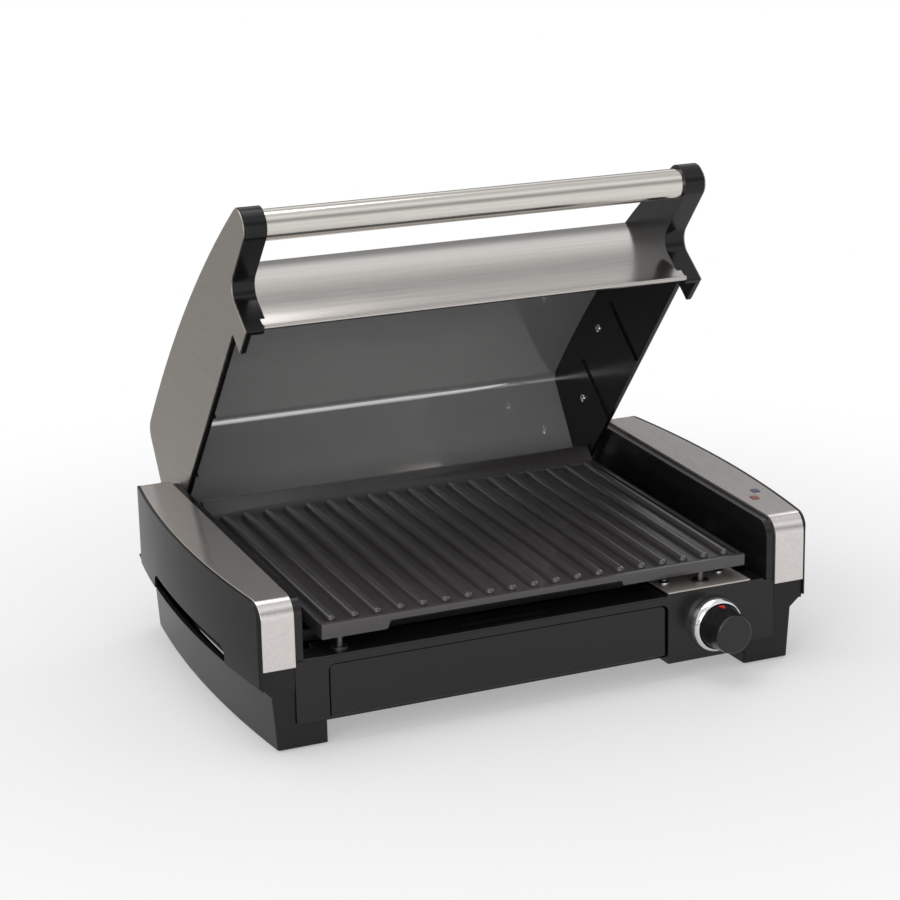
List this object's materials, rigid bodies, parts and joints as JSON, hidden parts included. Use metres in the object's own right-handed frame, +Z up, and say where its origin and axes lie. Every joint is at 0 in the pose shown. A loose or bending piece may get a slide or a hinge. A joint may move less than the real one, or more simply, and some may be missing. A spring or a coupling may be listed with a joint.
{
  "type": "electric indoor grill with lid",
  "caption": "Countertop electric grill: ribbed cooking plate between bowed end housings, drip tray, control knob and a hinged lid with a tubular handle.",
  "frame": {"origin": "on the table, under the middle of the open appliance's bounding box", "axes": "+X to the user's right, +Y to the back, +Z up; the front with the knob and the tray faces -Y"},
  "size_m": [0.4324, 0.356, 0.3459],
  "materials": {
    "black_plastic": "satin moulded",
    "trim_steel": "brushed",
    "grey_skin": "satin",
    "mirror_sheet": "bright inside",
    "plate_coating": "smooth dark coating on a casting",
    "bright_sheet": "bright",
    "element_steel": "dull",
    "ceramic": "matt",
    "chrome": "polished",
    "knob_black": "gloss",
    "pointer_red": "printed",
    "lens_blue": "clear lens",
    "lens_red": "clear lens",
    "rubber": "matt",
    "screw_steel": "zinc plated",
    "bush_white": "smooth"
  },
  "bodies": {
    "base": {"end_cap_right": "black_plastic", "end_cap_left": "black_plastic", "trim_right": "trim_steel", "trim_left": "trim_steel", "indicator_blue": "lens_blue", "indicator_red": "lens_red", "lamp_holder": "bush_white", "inner_wall_right": "black_plastic", "inner_wall_left": "black_plastic", "side_skirt_right": "black_plastic", "side_skirt_left": "black_plastic", "front_frame": "black_plastic", "rear_cover": "black_plastic", "cord_gland": "rubber", "bottom_cover": "black_plastic", "rubber_feet": "rubber", "tray_runner_left": "screw_steel", "tray_runner_right": "screw_steel", "support_posts": "screw_steel", "post_plate": "bright_sheet", "bracket_screws": "screw_steel", "heat_reflector": "bright_sheet", "heating_element": "element_steel", "element_clips": "screw_steel", "terminal_block": "ceramic", "element_bracket": "screw_steel", "knob_bezel": "chrome", "thermostat_body": "ceramic", "hinge_pins": "screw_steel"},
    "lid": {"lid_side_right": "black_plastic", "lid_side_left": "black_plastic", "side_skin_right": "grey_skin", "side_skin_left": "grey_skin", "lid_top_sheet": "mirror_sheet", "lid_front_panel": "trim_steel", "lid_front_liner": "black_plastic", "lid_handle": "trim_steel", "handle_rod": "screw_steel", "lid_screws": "screw_steel", "hinge_bush_right": "bush_white", "hinge_bush_left": "bush_white"},
    "knob_body": {"knob": "knob_black", "knob_pointer": "pointer_red", "thermostat_shaft": "screw_steel"},
    "tray": {"tray_front": "black_plastic", "tray_pan": "black_plastic"},
    "plate": {"grill_plate": "plate_coating"}
  },
  "joints": [
    {"name": "lid_hinge", "type": "hinge", "parent": "base", "child": "lid", "pos_m": [0, 0.10857, 0.0654], "axis": [1, 0, 0], "range_deg": [0, 49.7]},
    {"name": "knob_turn", "type": "hinge", "parent": "base", "child": "knob_body", "pos_m": [0.133, -0.16403, 0.0374], "axis": [0, 1, 0], "range_deg": [0, 270]},
    {"name": "tray_slide", "type": "slide", "parent": "base", "child": "tray", "axis": [0, -1, 0], "range_m": [0, 0.2]},
    {"name": "plate_lift", "type": "slide", "parent": "base", "child": "plate", "axis": [0, 0, 1], "range_m": [0, 0.008]}
  ]
}
